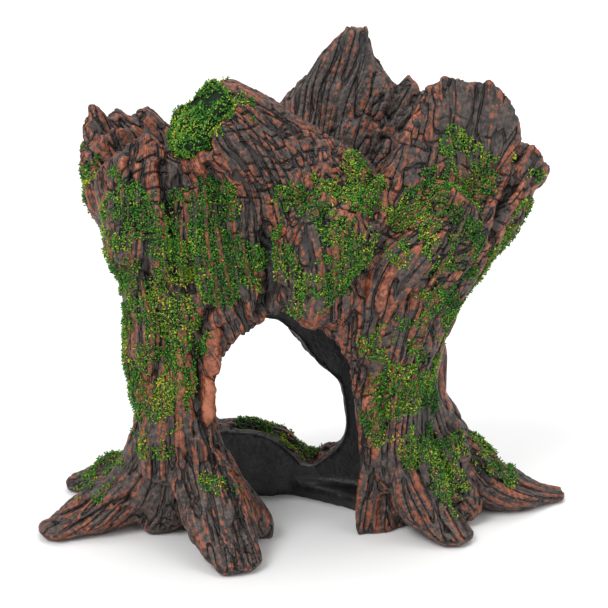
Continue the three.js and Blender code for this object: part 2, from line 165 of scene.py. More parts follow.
# The lines that the bark's grain follows, from the ground up, by shares of the frame's box.
GRAIN = [
    [
        (0.0, 0.29, 0.01), (0.13, 0.41, 0.05), (0.2, 0.43, 0.11), (0.23, 0.41, 0.25), (0.22, 0.39, 0.5),
        (0.21, 0.37, 0.64), (0.21, 0.33, 0.8),
    ],
    [
        (0.0, 0.29, 0.01), (0.13, 0.41, 0.05), (0.2, 0.51, 0.13), (0.21, 0.49, 0.31),
        (0.22, 0.48, 0.52), (0.18, 0.49, 0.62), (0.12, 0.51, 0.74),
    ],
    [
        (0.39, 0.0, 0.01), (0.34, 0.14, 0.07), (0.32, 0.27, 0.15), (0.29, 0.3, 0.25), (0.29, 0.29, 0.5),
        (0.27, 0.27, 0.76),
    ],
    [
        (0.41, 0.27, 0.02), (0.37, 0.29, 0.08), (0.33, 0.33, 0.18), (0.32, 0.26, 0.32),
        (0.34, 0.27, 0.48), (0.32, 0.27, 0.73),
    ],
    [
        (0.8, 0.24, 0.01), (0.72, 0.35, 0.07), (0.66, 0.39, 0.17), (0.64, 0.35, 0.27),
        (0.65, 0.33, 0.36), (0.69, 0.34, 0.47), (0.77, 0.38, 0.59), (0.86, 0.44, 0.73),
    ],
    [
        (0.61, 0.45, 0.0), (0.61, 0.41, 0.14), (0.61, 0.34, 0.25), (0.61, 0.29, 0.46),
        (0.66, 0.3, 0.57), (0.76, 0.36, 0.71), (0.77, 0.37, 0.92),
    ],
    [
        (1.0, 0.67, 0.01), (0.88, 0.58, 0.04), (0.77, 0.53, 0.12), (0.68, 0.48, 0.25),
        (0.68, 0.44, 0.36), (0.73, 0.44, 0.5), (0.83, 0.48, 0.64), (0.91, 0.52, 0.76),
    ],
    [
        (0.01, 0.76, 0.01), (0.11, 0.69, 0.04), (0.18, 0.63, 0.08), (0.22, 0.58, 0.22),
        (0.23, 0.61, 0.48), (0.19, 0.63, 0.62), (0.12, 0.67, 0.83),
    ],
    [
        (0.84, 0.96, 0.01), (0.78, 0.87, 0.04), (0.73, 0.77, 0.11), (0.68, 0.66, 0.25),
        (0.68, 0.67, 0.39), (0.72, 0.68, 0.59), (0.78, 0.71, 0.79),
    ],
    [
        (0.32, 0.99, 0.01), (0.29, 0.89, 0.04), (0.29, 0.79, 0.11), (0.28, 0.67, 0.23),
        (0.28, 0.69, 0.42), (0.32, 0.73, 0.61), (0.3, 0.77, 0.78),
    ],
    [(0.61, 0.69, 0.36), (0.54, 0.72, 0.54), (0.52, 0.74, 0.71), (0.55, 0.76, 0.85), (0.58, 0.77, 0.99)],
    [(0.54, 0.72, 0.6), (0.575, 0.74, 0.67), (0.62, 0.75, 0.76), (0.67, 0.76, 0.87)],
    [(0.6, 0.7, 0.56), (0.64, 0.72, 0.66), (0.665, 0.74, 0.75), (0.7, 0.75, 0.86)],
    [(0.42, 0.27, 0.48), (0.41, 0.25, 0.59), (0.4, 0.25, 0.71)],
    [(0.54, 0.27, 0.48), (0.5, 0.25, 0.57), (0.55, 0.27, 0.71)],
    [
        (0.57, 0.45, 0.6), (0.54, 0.41, 0.64), (0.46, 0.36, 0.71), (0.39, 0.3, 0.78),
        (0.32, 0.24, 0.85),
    ],
    [(0.63, 0.69, 0.38), (0.62, 0.75, 0.64), (0.69, 0.76, 0.88)],
    [(0.22, 0.71, 0.15), (0.3, 0.8, 0.1), (0.41, 0.83, 0.09), (0.5, 0.81, 0.03)],
]
FIELD_STEP = 5 * MM
FIELD_MARGIN = 15 * MM
GRAIN_CORE = 4 * MM  # a line's pull grows no stronger nearer to it than this
SWIRL = 0.38  # how far the grain wanders from those lines
SWIRL_SIZE = 26 * MM


def unit(v):
    """Vectors at length 1."""
    return v / np.linalg.norm(v, axis=1, keepdims=True).clip(1e-12)


def grain_field():
    """Unit directions of the grain on a coarse grid over the frame's box."""
    starts, ends = [], []
    for line in GRAIN:
        pts = [at(*p) for p in line]
        starts += pts[:-1]
        ends += pts[1:]
    a, b = np.array(starts), np.array(ends)
    run = b - a
    length2 = (run * run).sum(1)
    shape = np.ceil((SIZE + 2 * FIELD_MARGIN) / FIELD_STEP).astype(int) + 1
    origin = LOW - FIELD_MARGIN
    axes = [np.arange(n) * FIELD_STEP + o for n, o in zip(shape, origin)]
    grid = np.stack(np.meshgrid(*axes, indexing="ij"), -1).reshape(-1, 3)
    total = np.zeros_like(grid)
    for k in range(len(a)):
        t = (((grid - a[k]) @ run[k]) / length2[k]).clip(0, 1)
        gap = grid - a[k] - t[:, None] * run[k]
        weight = 1 / ((gap * gap).sum(1) + GRAIN_CORE**2) ** 2
        total += (weight / math.sqrt(length2[k]))[:, None] * run[k]
    total = unit(total) + SWIRL * noise_vectors(grid / SWIRL_SIZE, 9.1)
    return origin, shape, unit(total).reshape(*shape, 3)


FIELD_ORIGIN, FIELD_SHAPE, FIELD = grain_field()


def grain_at(p):
    """The grain's direction at each point."""
    q = ((p - FIELD_ORIGIN) / FIELD_STEP).clip(0, FIELD_SHAPE - 1.001)
    cell = q.astype(int)
    f = q - cell
    out = np.zeros_like(p)
    for i in (0, 1):
        for j in (0, 1):
            for k in (0, 1):
                w = np.abs(1 - i - f[:, 0]) * np.abs(1 - j - f[:, 1]) * np.abs(1 - k - f[:, 2])
                out += FIELD[cell[:, 0] + i, cell[:, 1] + j, cell[:, 2] + k] * w[:, None]
    return unit(out)


LEVEL_GAP = 36 * MM  # how far a strand of bark runs before another pattern has taken over
LEVEL_TILT = 0.6  # how steeply a level rises outwards at the ground, and falls outwards at the crown
LEVEL_WAVE = 5 * MM
LEVEL_WAVE_SIZE = 28 * MM
TRACE_STEP = 2.5 * MM
TRACE_STEPS = 24
WANDER = 0.9 * MM  # how far strands wave from side to side
WANDER_SIZE = 13 * MM
CUT_DRIFT = 0.8  # how far out of step a strand's cuts may be, in cuts
CUT_DRIFT_SIZE = 9 * MM


def rise(p):
    """How far up the grain a point is, in level gaps: it grows from a root's tip to the crown's edge."""
    share = (p[:, 2] - LOW[2]) / SIZE[2]
    middle = at(0.48, 0.5, 0)
    spread = np.hypot(p[:, 0] - middle[0], p[:, 1] - middle[1])
    uneven = LEVEL_WAVE * noise(p / LEVEL_WAVE_SIZE, 1)
    return (p[:, 2] + (2 * LEVEL_TILT * share - LEVEL_TILT) * spread + uneven) / LEVEL_GAP


def ridged(value, sharp):
    """Rounded strands at 1 with narrow grooves between them, down to 0 where a value passes through 0."""
    return 1 - np.exp(-np.abs(value) / sharp)


class Strands:
    """Patterns that keep their value along the grain, between points where it crosses evenly spaced levels.

    Each point knows where its strand crosses the even level next to it, and the odd one. Near a level the
    crossing there counts alone, so no pattern has a seam.
    """

    def __init__(self, p):
        start = rise(p)
        level = np.floor(start)
        above, _ = self.followed(p, start, level + 1, 1)
        below, self.run = self.followed(p, start, level, -1)
        climbed = smoothstep(start - level, 0.0, 1.0)
        is_even = level % 2 == 0
        self.even = np.where(is_even[:, None], below, above)
        self.odd = np.where(is_even[:, None], above, below)
        self.oddness = np.where(is_even, climbed, 1 - climbed)
        wander = WANDER * noise_vectors(p / WANDER_SIZE, 5.3)
        self.even += wander
        self.odd += wander

    @staticmethod
    def followed(p, start, goal, sign):
        """Where the grain through each point crosses its goal level, and how far off that is."""
        end, run = p.copy(), np.zeros(len(p))
        going = np.arange(len(p))
        q, value = p.copy(), start.copy()
        for step in range(TRACE_STEPS):
            half = q + sign * 0.5 * TRACE_STEP * grain_at(q)
            ahead = q + sign * TRACE_STEP * grain_at(half)
            reached = rise(ahead)
            passed = sign * (reached - goal[going]) >= 0
            share = ((goal[going] - value) / (reached - value + 1e-9 * sign)).clip(0, 1)
            stop = passed | (step == TRACE_STEPS - 1)
            end[going[stop]] = (q + share[:, None] * (ahead - q))[stop]
            run[going[stop]] = (step + share[stop]) * TRACE_STEP
            going, q, value = going[~stop], ahead[~stop], reached[~stop]
            if not len(going):
                break
        return end, run

    def value(self, width, seed):
        """A pattern of strands about as wide as width, with a mean of 0 and a spread of 1."""
        odd, even = noise(self.odd / width, seed), noise(self.even / width, seed)
        mixed = self.oddness * odd + (1 - self.oddness) * even
        mixed /= np.sqrt(self.oddness**2 + (1 - self.oddness) ** 2)
        return mixed / mixed.std()

    def cross_wave(self, length, value):
        """A wave up each strand, half a length out of step where the value's sign changes."""
        drift = CUT_DRIFT * noise(self.even / CUT_DRIFT_SIZE, 6)
        return np.cos(2 * math.pi * (self.run / length + 0.5 * (value > 0) + drift))


# ---------------------------------------------------------------- the casting
COARSE_VOXEL = 1.3 * MM
FINE_VOXEL = 0.55 * MM
SMOOTH_ROUNDS = 6
SMOOTH_SHARES = (0.5, -0.52)  # each round goes in and then out again, so that walls stay as thick

# The bark's ridges, the widest first: the strands' width, their seed, how narrow the grooves are, the level
# that stays where it was, the depth in millimetres, and the share of it that the crown loses.
Ridges = namedtuple("Ridges", "width seed sharp mean depth lost")
FOLDS = Ridges(10 * MM, 1, 0.45, 0.72, 2.4, 0.85)
CORDS = Ridges(5 * MM, 2, 0.45, 0.7, 1.5, 0.5)
GROOVES = Ridges(1.9 * MM, 4, 0.36, 0.78, 0.95, 0)
THREADS = Ridges(0.9 * MM, 5, 0.5, 0.7, 0.3, 0)

# The crown's splinters, in millimetres along the grain.
SPLINTER_WIDTH = 3.2 * MM
SPLINTER_SPREAD = 0.7
SPLINTER_LENGTH = 0.9
LEFT_SPIKE_LENGTH = 2.0
LEFT_SPIKES = ((0.15, 0.5, 0.85), 12 * MM)
CROWN = (height_at(0.66), height_at(0.8))

# How high above the floor the bark's relief fades in, and the share of the folds that is left on the floor.
COARSE_FADE = (1 * MM, 8 * MM)
FINE_FADE = (0.6 * MM, 4 * MM)
FOLDS_ON_FLOOR = 0.3

# Cuts across the grain, with their depth in millimetres. They come in patches within the tiled places.
CUT_SPACING = 4.4 * MM
CUT_DEPTH = 0.7
CUT_BAND = (0.75, 0.95)
CUT_PATCH_SIZE = 4.5 * MM
CUT_PATCH_EDGE = (-0.25, 0.15)

# The cave's smooth wall: its middle and its reach each way by shares of the box, where its edge fades out
# along that reach and up, and how far the wall waves, in millimetres.
CAVE_MIDDLE = at(0.46, 0.51, 0)
CAVE_REACH = (0.24, 0.215)
CAVE_EDGE = (0.88, 1.04)
CAVE_TOP = (0.53, 0.56)
CAVE_WAVE = 0.25
CAVE_WAVE_SIZE = 11 * MM

# Round places on the bark: a middle, by its share of the box, and a radius.
TILED = [
    ((0.42, 0.3, 0.8), 22 * MM),  # the brow
    ((0.72, 0.35, 0.68), 17 * MM),  # the right slab
    ((0.6, 0.3, 0.38), 14 * MM),  # the strand right of the arch
    ((0.25, 0.25, 0.74), 14 * MM),  # the left lobe
]
BARE = [
    ((0.57, 0.72, 0.76), 24 * MM),  # the crown's inner wall
    ((0.79, 0.42, 0.88), 12 * MM),  # the right slab's face
]
ROOTS_BARE = 0.75
ROOTS_BARE_UP_TO = (height_at(0.13), height_at(0.28))

# How the roots' tips are pressed flat: by what share of their height, within what reach and height, and how
# far out from the box's middle a root has to start.
TIP_PRESS = 0.42
TIP_REACH = (2 * MM, 22 * MM)
TIP_HEIGHT = (14 * MM, 26 * MM)
TIP_OUT = 0.27

# What the paint takes as proud: over what width, and how far out counts as 1.
NEAR_BY = (1.5 * MM, 0.3 * MM)
FURTHER_OFF = (4.0 * MM, 1.1 * MM)
PROUD_SHARE = 0.6


def near_point(p, centre, radius):
    """1 within a radius of a point, falling to 0 at twice that."""
    return 1 - smoothstep(np.linalg.norm(p - at(*centre), axis=1) / radius, 1, 2)


def cave_share(p):
    """1 inside the cave's smooth wall, falling to 0 at its mouth's edge."""
    rel = (p - CAVE_MIDDLE) / SIZE
    reach = np.sqrt((rel[:, 0] / CAVE_REACH[0]) ** 2 + (rel[:, 1] / CAVE_REACH[1]) ** 2)
    wall = 1 - smoothstep(reach, *CAVE_EDGE)
    return wall * (1 - smoothstep(rel[:, 2], *CAVE_TOP))


def tiled_share(p):
    """Where cuts across the grain break the bark into small tiles."""
    places = np.maximum.reduce([near_point(p, *place) for place in TILED])
    return places * smoothstep(noise(p / CUT_PATCH_SIZE, 7), *CUT_PATCH_EDGE)


def bare_share(p):
    """Where little rust was brushed on: the bare places and the roots."""
    roots = ROOTS_BARE * (1 - smoothstep(p[:, 2], *ROOTS_BARE_UP_TO))
    return np.maximum.reduce([near_point(p, *place) for place in BARE] + [roots])


# Strands that stand out from the bark and furrows sunk in it: points by shares of the box, half width and
# height in millimetres.
MARKED = [
    # The rod at the arch's left edge.
    ([(0.337, 0.2, 0.465), (0.33, 0.2, 0.42), (0.325, 0.2, 0.34), (0.315, 0.17, 0.2)], 2.8, 2.4),
    # The furrow over the rod and down its left side.
    ([(0.357, 0.22, 0.5), (0.335, 0.2, 0.51), (0.312, 0.2, 0.47), (0.3, 0.18, 0.25)], 1.7, -2.4),
    # The strand left of the rod.
    ([(0.28, 0.2, 0.5), (0.275, 0.18, 0.35), (0.27, 0.18, 0.19)], 2.4, 1.8),
    # The furrow down the brow.
    ([(0.42, 0.17, 0.64), (0.43, 0.17, 0.59), (0.43, 0.18, 0.53), (0.42, 0.19, 0.49)], 3.0, -3.0),
    # The furrow under the stub.
    ([(0.33, 0.11, 0.77), (0.34, 0.17, 0.71), (0.38, 0.15, 0.59), (0.39, 0.17, 0.52)], 2.6, -2.4),
    # The strand right of the arch.
    ([(0.59, 0.2, 0.43), (0.6, 0.2, 0.34), (0.61, 0.22, 0.27), (0.61, 0.25, 0.18)], 3.6, 2.0),
    # The furrow beside it.
    ([(0.63, 0.2, 0.43), (0.63, 0.2, 0.33), (0.63, 0.22, 0.25)], 2.0, -2.2),
    # The furrow between slab and finger.
    ([(0.88, 0.44, 0.78), (0.86, 0.37, 0.72), (0.84, 0.34, 0.68), (0.82, 0.32, 0.62)], 2.6, -3.2),
    # The furrow down the left lobe.
    ([(0.25, 0.21, 0.77), (0.26, 0.19, 0.71), (0.27, 0.17, 0.63), (0.27, 0.19, 0.53)], 2.2, -2.2),
    # The furrow left of that one.
    ([(0.19, 0.22, 0.78), (0.2, 0.16, 0.71), (0.21, 0.14, 0.62), (0.23, 0.18, 0.52)], 2.0, -1.8),
    # A furrow on the middle front root.
    ([(0.35, 0.16, 0.16), (0.38, 0.14, 0.11), (0.39, 0.06, 0.05)], 2.0, -1.8),
    # A furrow on the right root.
    ([(0.76, 0.42, 0.21), (0.8, 0.45, 0.15), (0.84, 0.45, 0.09)], 2.2, -2.0),
]
MARK_EDGE = (0.35, 1.1)  # a marked line's flank, in half widths from its middle


def marked(p):
    """How far those lines lift the bark, in metres."""
    lift = np.zeros(len(p))
    for line, half_width, height in MARKED:
        pts = [at(*q) for q in line]
        gap = np.full(len(p), np.inf)
        for a, b in zip(pts, pts[1:]):
            t = (((p - a) @ (b - a)) / ((b - a) @ (b - a))).clip(0, 1)
            gap = np.minimum(gap, np.linalg.norm(p - a - t[:, None] * (b - a), axis=1))
        lift += height * MM * (1 - smoothstep(gap / (half_width * MM), *MARK_EDGE))
    return lift


def tapered(p):
    """The casting's points with the roots' tips pressed down towards the floor."""
    starts = [line[0] for line in GRAIN]
    tips = [tip for tip in starts if max(abs(tip[0] - 0.5), abs(tip[1] - 0.5)) > TIP_OUT]
    press = np.zeros(len(p))
    for tip in tips:
        reach = np.linalg.norm((p - at(*tip))[:, :2], axis=1)
        press = np.maximum(press, 1 - smoothstep(reach, *TIP_REACH))
    height = p[:, 2] - LOW[2]
    out = p.copy()
    out[:, 2] -= TIP_PRESS * press * height * (1 - smoothstep(height, *TIP_HEIGHT))
    return out


def smoothed_mesh(source):
    """The casting in even quads, its facets smoothed without thinning its walls."""
    mesh = remeshed(source, COARSE_VOXEL)
    co, edges = points_of(mesh), edges_of(mesh)
    for _ in range(SMOOTH_ROUNDS):
        for share in SMOOTH_SHARES:
            co = blurred(co, edges, 1, share)
    move_to(mesh, tapered(co))
    return mesh


def off_floor(p, fade):
    """0 near the floor and 1 above it."""
    return smoothstep(p[:, 2], LOW[2] + fade[0], LOW[2] + fade[1])


def move_above_floor(mesh, co):
    """Moves a mesh's points, none of them below the floor, and returns where they are."""
    co[:, 2] = np.maximum(co[:, 2], LOW[2])
    move_to(mesh, co)
    return co


def lifted(ridges, value, crown=0):
    """How far ridges lift the bark, in millimetres."""
    return ridges.depth * (1 - ridges.lost * crown) * (ridged(value, ridges.sharp) - ridges.mean)


def fold(mesh):
    """Gives the smoothed casting its folds and cords, and its crown splinters."""
    co = points_of(mesh)
    strands = Strands(co)
    outside = 1 - cave_share(co)
    crown = smoothstep(co[:, 2], *CROWN)
    folds, cords = (lifted(r, strands.value(r.width, r.seed), crown) for r in (FOLDS, CORDS))
    fade = FOLDS_ON_FLOOR + (1 - FOLDS_ON_FLOOR) * off_floor(co, COARSE_FADE)
    co = co + normals_of(mesh) * ((folds + cords) * outside * fade * MM)[:, None]
    splinters = SPLINTER_SPREAD * strands.value(SPLINTER_WIDTH, 3) + SPLINTER_LENGTH
    splinters = splinters + LEFT_SPIKE_LENGTH * near_point(co, *LEFT_SPIKES)
    co = co + grain_at(co) * (crown * splinters * MM)[:, None]
    move_above_floor(mesh, co)


def standing_out(co, normal, edges, voxel, width, height):
    """How far points stand out from the bark's mean over a width, as a share of a height."""
    mean = blurred(co, edges, round((width / voxel) ** 2))
    return ((co - mean) * normal).sum(1) / height


def carve(mesh, voxel):
    """Gives the fine mesh its grooves, cuts and marked lines, and stores what the paint needs to know."""
    co, edges = points_of(mesh), edges_of(mesh)
    strands = Strands(co)
    outside = 1 - cave_share(co)
    groove, thread = (strands.value(r.width, r.seed) for r in (GROOVES, THREADS))
    wave = strands.cross_wave(CUT_SPACING, groove)
    tiled = tiled_share(co)
    depth = lifted(GROOVES, groove) + lifted(THREADS, thread)
    depth = depth - CUT_DEPTH * tiled * smoothstep(wave, *CUT_BAND)
    lines = marked(co)
    bark = outside * off_floor(co, FINE_FADE) * (depth * MM + lines)
    wall = (1 - outside) * CAVE_WAVE * MM * noise(co / CAVE_WAVE_SIZE, 5)
    co = move_above_floor(mesh, co + normals_of(mesh) * (bark + wall)[:, None])

    normal = normals_of(mesh)
    small = standing_out(co, normal, edges, voxel, *NEAR_BY)
    large = standing_out(co, normal, edges, voxel, *FURTHER_OFF)
    known = {
        "proud": (PROUD_SHARE * small + PROUD_SHARE * large).clip(-2, 2),
        "edge": large.clip(-2, 3),
        "groove": groove,
        "thread": thread,
        "wave": wave,
        "tiled": tiled * outside,
        "cave": 1 - outside,
        "bare": bare_share(co),
        "marked": lines / MM,
        "oddness": strands.oddness,
        "strand_even": strands.even,
        "strand_odd": strands.odd,
    }
    for name, values in known.items():
        store(mesh, name, values)


def store(mesh, name, values):
    """Keeps a number or a vector for each vertex."""
    kind, key = ("FLOAT", "value") if values.ndim == 1 else ("FLOAT_VECTOR", "vector")
    layer = mesh.attributes.new(name, kind, "POINT")
    layer.data.foreach_set(key, values.astype(np.float32).ravel())


def sculpted(source):
    """The casting's mesh with its folds, ridges, cuts and splinters, and what the paint needs to know."""
    coarse = smoothed_mesh(source)
    fold(coarse)
    voxel = FINE_VOXEL
    fine = remeshed(coarse, voxel)
    bpy.data.meshes.remove(coarse)
    carve(fine, voxel)
    return fine


# ---------------------------------------------------------------- materials
class Nodes:
    """A material's node tree, with short calls to add to it."""

    def __init__(self, name):
        self.material = bpy.data.materials.new(name)
        self.material.use_nodes = True
        self.tree = self.material.node_tree
        self.shader = self.tree.nodes["Principled BSDF"]

    def add(self, kind, **inputs):
        node = self.tree.nodes.new(kind)
        for key, value in inputs.items():
            name = key.replace("_", " ")
            if isinstance(value, bpy.types.NodeSocket):
                self.tree.links.new(value, node.inputs[name])
            else:
                node.inputs[name].default_value = value
        return node

    def attribute(self, name, kind="Fac"):
        node = self.tree.nodes.new("ShaderNodeAttribute")
        node.attribute_name = name
        return node.outputs[kind]

    def strands(self, width, detail=1):
        """Noise that keeps its value along the stored strands, from 0 to 1 about a mean of a half."""
        parts = []
        for name in ("strand_even", "strand_odd"):
            where = self.attribute(name, "Vector")
            parts.append(self.add("ShaderNodeTexNoise", Vector=where, Scale=1 / width, Detail=detail))
        even, odd = (node.outputs["Fac"] for node in parts)
        oddness = self.attribute("oddness")
        evenness = self.math("SUBTRACT", 1.0, oddness)
        return self.math("ADD", self.math("MULTIPLY", odd, oddness), self.math("MULTIPLY", even, evenness))

    def crease(self, value, thin):
        """1 on thin lines where a value passes through 0, and 0 away from them."""
        return self.mapped(self.math("ABSOLUTE", value, 0.0), 0.15 * thin, thin, 1, 0)

    def noise(self, scale, detail=3, rough=0.5):
        where = self.tree.nodes.new("ShaderNodeTexCoord").outputs["Object"]
        node = self.add("ShaderNodeTexNoise", Vector=where, Scale=scale, Detail=detail, Roughness=rough)
        return node.outputs["Fac"]

    def mapped(self, value, low, high, to_low=0.0, to_high=1.0):
        node = self.tree.nodes.new("ShaderNodeMapRange")
        node.interpolation_type = "SMOOTHSTEP"
        self.tree.links.new(value, node.inputs["Value"])
        for key, number in (("From Min", low), ("From Max", high), ("To Min", to_low), ("To Max", to_high)):
            node.inputs[key].default_value = number
        return node.outputs["Result"]

    def math(self, operation, a, b):
        node = self.tree.nodes.new("ShaderNodeMath")
        node.operation = operation
        for socket, value in zip(node.inputs, (a, b)):
            if isinstance(value, bpy.types.NodeSocket):
                self.tree.links.new(value, socket)
            else:
                socket.default_value = value
        return node.outputs[0]

    def mix(self, factor, a, b):
        node = self.tree.nodes.new("ShaderNodeMix")
        node.data_type = "RGBA"
        sockets = [s for s in node.inputs if s.type == "RGBA"]
        for socket, value in zip([node.inputs[0], *sockets], (factor, a, b)):
            if isinstance(value, bpy.types.NodeSocket):
                self.tree.links.new(value, socket)
            else:
                socket.default_value = value
        return [s for s in node.outputs if s.type == "RGBA"][0]

    def bump(self, height, depth, strength=1.0):
        node = self.add("ShaderNodeBump", Height=height, Strength=strength, Distance=depth)
        self.tree.links.new(node.outputs["Normal"], self.shader.inputs["Normal"])


def colour(red, green, blue):
    """A linear colour from sRGB numbers from 0 to 255."""
    def linear(v):
        v /= 255
        return v / 12.92 if v <= 0.04045 else ((v + 0.055) / 1.055) ** 2.4
    return (linear(red), linear(green), linear(blue), 1)


CHARCOAL = (colour(40, 33, 31), colour(84, 72, 66))
RUST = (colour(92, 44, 27), colour(146, 78, 48))
RUST_ON_EDGES = colour(158, 84, 54)
# The palest rust on the crests: a last dry-brushed coat, paled further as a painted highlight.
RUST_AND_HIGHLIGHT_ON_CRESTS = colour(178, 112, 82)
# Painted shade: near-black laid into the hollows, furrows, hair lines and creases, darker than the resin
# itself.
PAINTED_SHADE_IN_HOLLOWS = colour(24, 20, 20)
PAINTED_SHADE_IN_FURROWS = colour(20, 16, 16)
PAINTED_SHADE_IN_HAIRS = colour(24, 18, 17)
PAINTED_SHADE_IN_CREASES = colour(18, 14, 14)
# The cave's smooth resin, darker than the charcoal outside: its own unbrushed colour, deepened with painted
# shade.
CAVE_RESIN_AND_SHADE = (colour(18, 17, 19), colour(34, 33, 35))


def crease_lines(m):
    """The grooves' bottoms, with the cuts across them where the bark is tiled."""
    creases = m.crease(m.attribute("groove"), 0.42)
    tiled = m.mapped(m.attribute("tiled"), 0.1, 0.6)
    cuts = m.math("MULTIPLY", m.mapped(m.attribute("wave"), 0.8, 0.97), tiled)
    return m.math("MAXIMUM", creases, cuts)


def hair_lines(m):
    """The threads' bottoms, here and there."""
    return m.math("MULTIPLY", m.crease(m.attribute("thread"), 0.4), m.mapped(m.noise(160, 2), 0.4, 0.6))


def wear(m, speckle, fine):
    """How much rust the brush left: more on what stands proud, less on bare places, and uneven."""
    patches = m.noise(60, 4, 0.6)
    worn = m.math("MULTIPLY", m.attribute("proud"), 1.2)
    more = [
        m.mapped(patches, 0.35, 0.65, -1.3, 0.5),
        m.mapped(m.math("ABSOLUTE", m.attribute("groove"), 0.0), 0.5, 1.6, -0.6, 0.9),
        m.math("MULTIPLY", m.attribute("marked"), 0.3),
        m.math("MULTIPLY", m.attribute("bare"), -1.1),
        m.mapped(speckle, 0.3, 0.7, -1.2, 1.2),
        m.mapped(fine, 0.36, 0.64, -1.3, 1.3),
    ]
    for part in more:
        worn = m.math("ADD", worn, part)
    return worn


def painted_resin():
    """Charcoal resin, dry-brushed with rust on what stands proud, paled with a painted highlight on its
    crests and darkened with painted shade in its hollows, furrows, hair lines and creases; left smooth in
    the cave, where painted shade makes it darker still.
    """
    m = Nodes("painted_resin")
    cave = m.attribute("cave")
    speckle, fine = m.noise(700, 3, 0.65), m.strands(1.6 * MM, 2)
    creases, hairs, worn = crease_lines(m), hair_lines(m), wear(m, speckle, fine)
    charcoal, rust = (m.mix(m.mapped(speckle, 0.35, 0.65), *shades) for shades in (CHARCOAL, RUST))
    skin = m.mix(m.mapped(worn, -0.6, 1.0), charcoal, rust)
    # The rust coats, then a painted highlight on the crests and painted shade in the hollows, furrows, hair
    # lines and creases.
    coats = [
        (m.mapped(m.attribute("edge"), 0.7, 2.2, 0, 0.7), RUST_ON_EDGES),
        # pale rust with a painted highlight on the most worn crests
        (m.mapped(worn, 1.9, 3.4, 0, 0.55), RUST_AND_HIGHLIGHT_ON_CRESTS),
        # painted shade where the bark sinks into hollows
        (m.mapped(m.attribute("proud"), -1.3, -0.4, 0.75, 0), PAINTED_SHADE_IN_HOLLOWS),
        # painted shade down the sunk furrows
        (m.mapped(m.attribute("marked"), -2.2, -0.6, 0.8, 0), PAINTED_SHADE_IN_FURROWS),
        # painted shade along the threads' bottoms
        (m.math("MULTIPLY", hairs, 0.75), PAINTED_SHADE_IN_HAIRS),
        # painted shade in the grooves' bottoms and the cuts across them
        (m.math("MULTIPLY", creases, 0.85), PAINTED_SHADE_IN_CREASES),
    ]
    for cover, shade in coats:
        skin = m.mix(cover, skin, shade)
    # the cave's wall, darkened with painted shade
    inner = m.mix(m.mapped(m.noise(220), 0.4, 0.7), *CAVE_RESIN_AND_SHADE)
    m.tree.links.new(m.mix(cave, skin, inner), m.shader.inputs["Base Color"])
    m.tree.links.new(m.mapped(speckle, 0.3, 0.7, 0.32, 0.56), m.shader.inputs["Roughness"])
    grain = m.math("SUBTRACT", m.math("MULTIPLY", fine, 1.6), m.math("MULTIPLY", hairs, 0.5))
    grain = m.math("SUBTRACT", grain, creases)
    outside = m.math("SUBTRACT", 1.0, cave)
    height = m.math("ADD", m.math("MULTIPLY", grain, outside), m.math("MULTIPLY", speckle, 0.6))
    m.bump(height, 0.5 * MM)
    return m.material


def flock(name, shade, rough):
    """One dye of the moss flock, matt and a little uneven; it also makes the near-black green that is
    painted shade deep in the moss.
    """
    m = Nodes(name)
    m.shader.inputs["Base Color"].default_value = shade
    m.shader.inputs["Specular IOR Level"].default_value = 0.25
    uneven = m.mapped(m.noise(1800), 0.3, 0.7, rough - 0.1, rough + 0.1)
    m.tree.links.new(uneven, m.shader.inputs["Roughness"])
    m.bump(m.noise(4200, 2), 0.08 * MM)
    return m.material


# ---------------------------------------------------------------- moss
class Ground:
    """A mesh's triangles, for scattering moss on."""

    def __init__(self, mesh):
        mesh.calc_loop_triangles()
        tris = np.empty(len(mesh.loop_triangles) * 3, np.int32)
        mesh.loop_triangles.foreach_get("vertices", tris)
        co = points_of(mesh)
        self.corners = co[tris.reshape(-1, 3)]
        cross = np.cross(self.corners[:, 1] - self.corners[:, 0], self.corners[:, 2] - self.corners[:, 0])
        self.area = np.linalg.norm(cross, axis=1) / 2
        self.normal = cross / (2 * self.area[:, None]).clip(1e-12)
        self.middle = self.corners.mean(1)
        self.proud = np.zeros(len(self.area))
        if "proud" in mesh.attributes:
            proud = np.empty(len(co), np.float32)
            mesh.attributes["proud"].data.foreach_get("value", proud)
            self.proud = proud[tris.reshape(-1, 3)].mean(1)

    def scattered(self, picks, density, rng):
        """Random points on the picked triangles, and the normals there."""
        chosen = np.repeat(picks, rng.poisson(self.area[picks] * density))
        u, v = rng.random((2, len(chosen)))
        flip = u + v > 1
        u[flip], v[flip] = 1 - u[flip], 1 - v[flip]
        a, b, c = (self.corners[chosen, k] for k in range(3))
        return a + u[:, None] * (b - a) + v[:, None] * (c - a), self.normal[chosen]


MOSS_FULL = 2.2 * MM  # how far past its CAD patch a coat is still full
MOSS_SPREAD = 6.0 * MM  # and how far past it the coat has thinned out to nothing
MOSS_DENSITY = 3.4e6  # flecks to a square metre
MOSS_CLUMPS = ((0.6, 8 * MM, 3), (0.7, 2.8 * MM, 4))
MOSS_ON_PROUD = 0.14  # how much thicker the coat is on what stands proud
MOSS_FADE = 1.3  # how much of the clumps' noise the way past the patch takes away
MOSS_THRESHOLD = 0.84
MOSS_CLUMP_EDGE = (-0.05, 0.3)
# How much thinner the coat is on a few patches, on the scale of the clumps' noise.
THINNED = {
    "moss_root_front_left": 0.4,
    "moss_root_front_mid": 0.3,
    "moss_root_back_left": 0.25,
    "moss_root_right": 0.15,
}

PLUG_VOXEL = 0.7 * MM
PLUG_LUMPS = ((1.5, 7 * MM, 2), (0.9, 3.2 * MM, 3))  # in millimetres out from its CAD solid
PLUG_SUNK = 0.5
PLUG_CLUMPS = ((1, 7 * MM, 2), (0.6, 3.2 * MM, 3))
PLUG_CLUMP_EDGE = (-0.75, -0.35)

